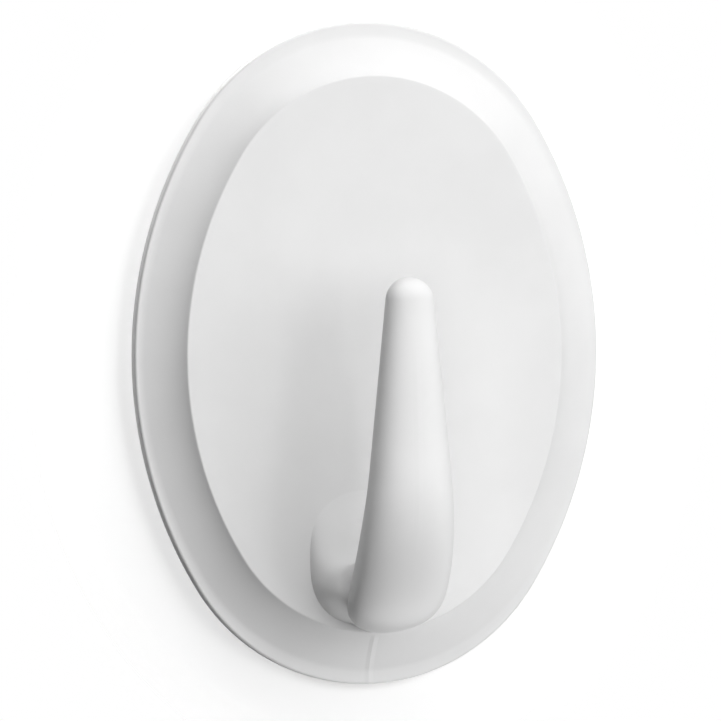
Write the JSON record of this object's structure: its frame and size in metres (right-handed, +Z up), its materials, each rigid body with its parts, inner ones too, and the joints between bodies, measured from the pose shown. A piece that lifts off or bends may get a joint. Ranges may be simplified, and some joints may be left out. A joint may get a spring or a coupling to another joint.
{
  "type": "adhesive wall hook",
  "caption": "Oval self-adhesive wall hook: raised face ringed by a cove, an upturned J-shaped prong for towels or coats, and a foam pad under a peel-off liner.",
  "frame": {"origin": "middle of the face that lies against the wall, the rear face of the release liner", "axes": "+Z up the wall, +Y into the wall, so the prong faces -Y, and +X to the right of someone facing the hook"},
  "size_m": [0.055, 0.0209, 0.075],
  "materials": {
    "white_plastic": "satin",
    "adhesive_film": "gloss",
    "foam": "matte",
    "liner_paper": "satin"
  },
  "bodies": {
    "hook": {"hook_moulding": "white_plastic", "plate_adhesive": "adhesive_film", "foam_core": "foam", "wall_adhesive": "adhesive_film"},
    "liner": {"release_liner": "liner_paper"}
  },
  "joints": [
    {"name": "liner_peel", "type": "slide", "parent": "hook", "child": "liner", "axis": [0, 1, 0], "range_m": [0, 0.03]}
  ]
}
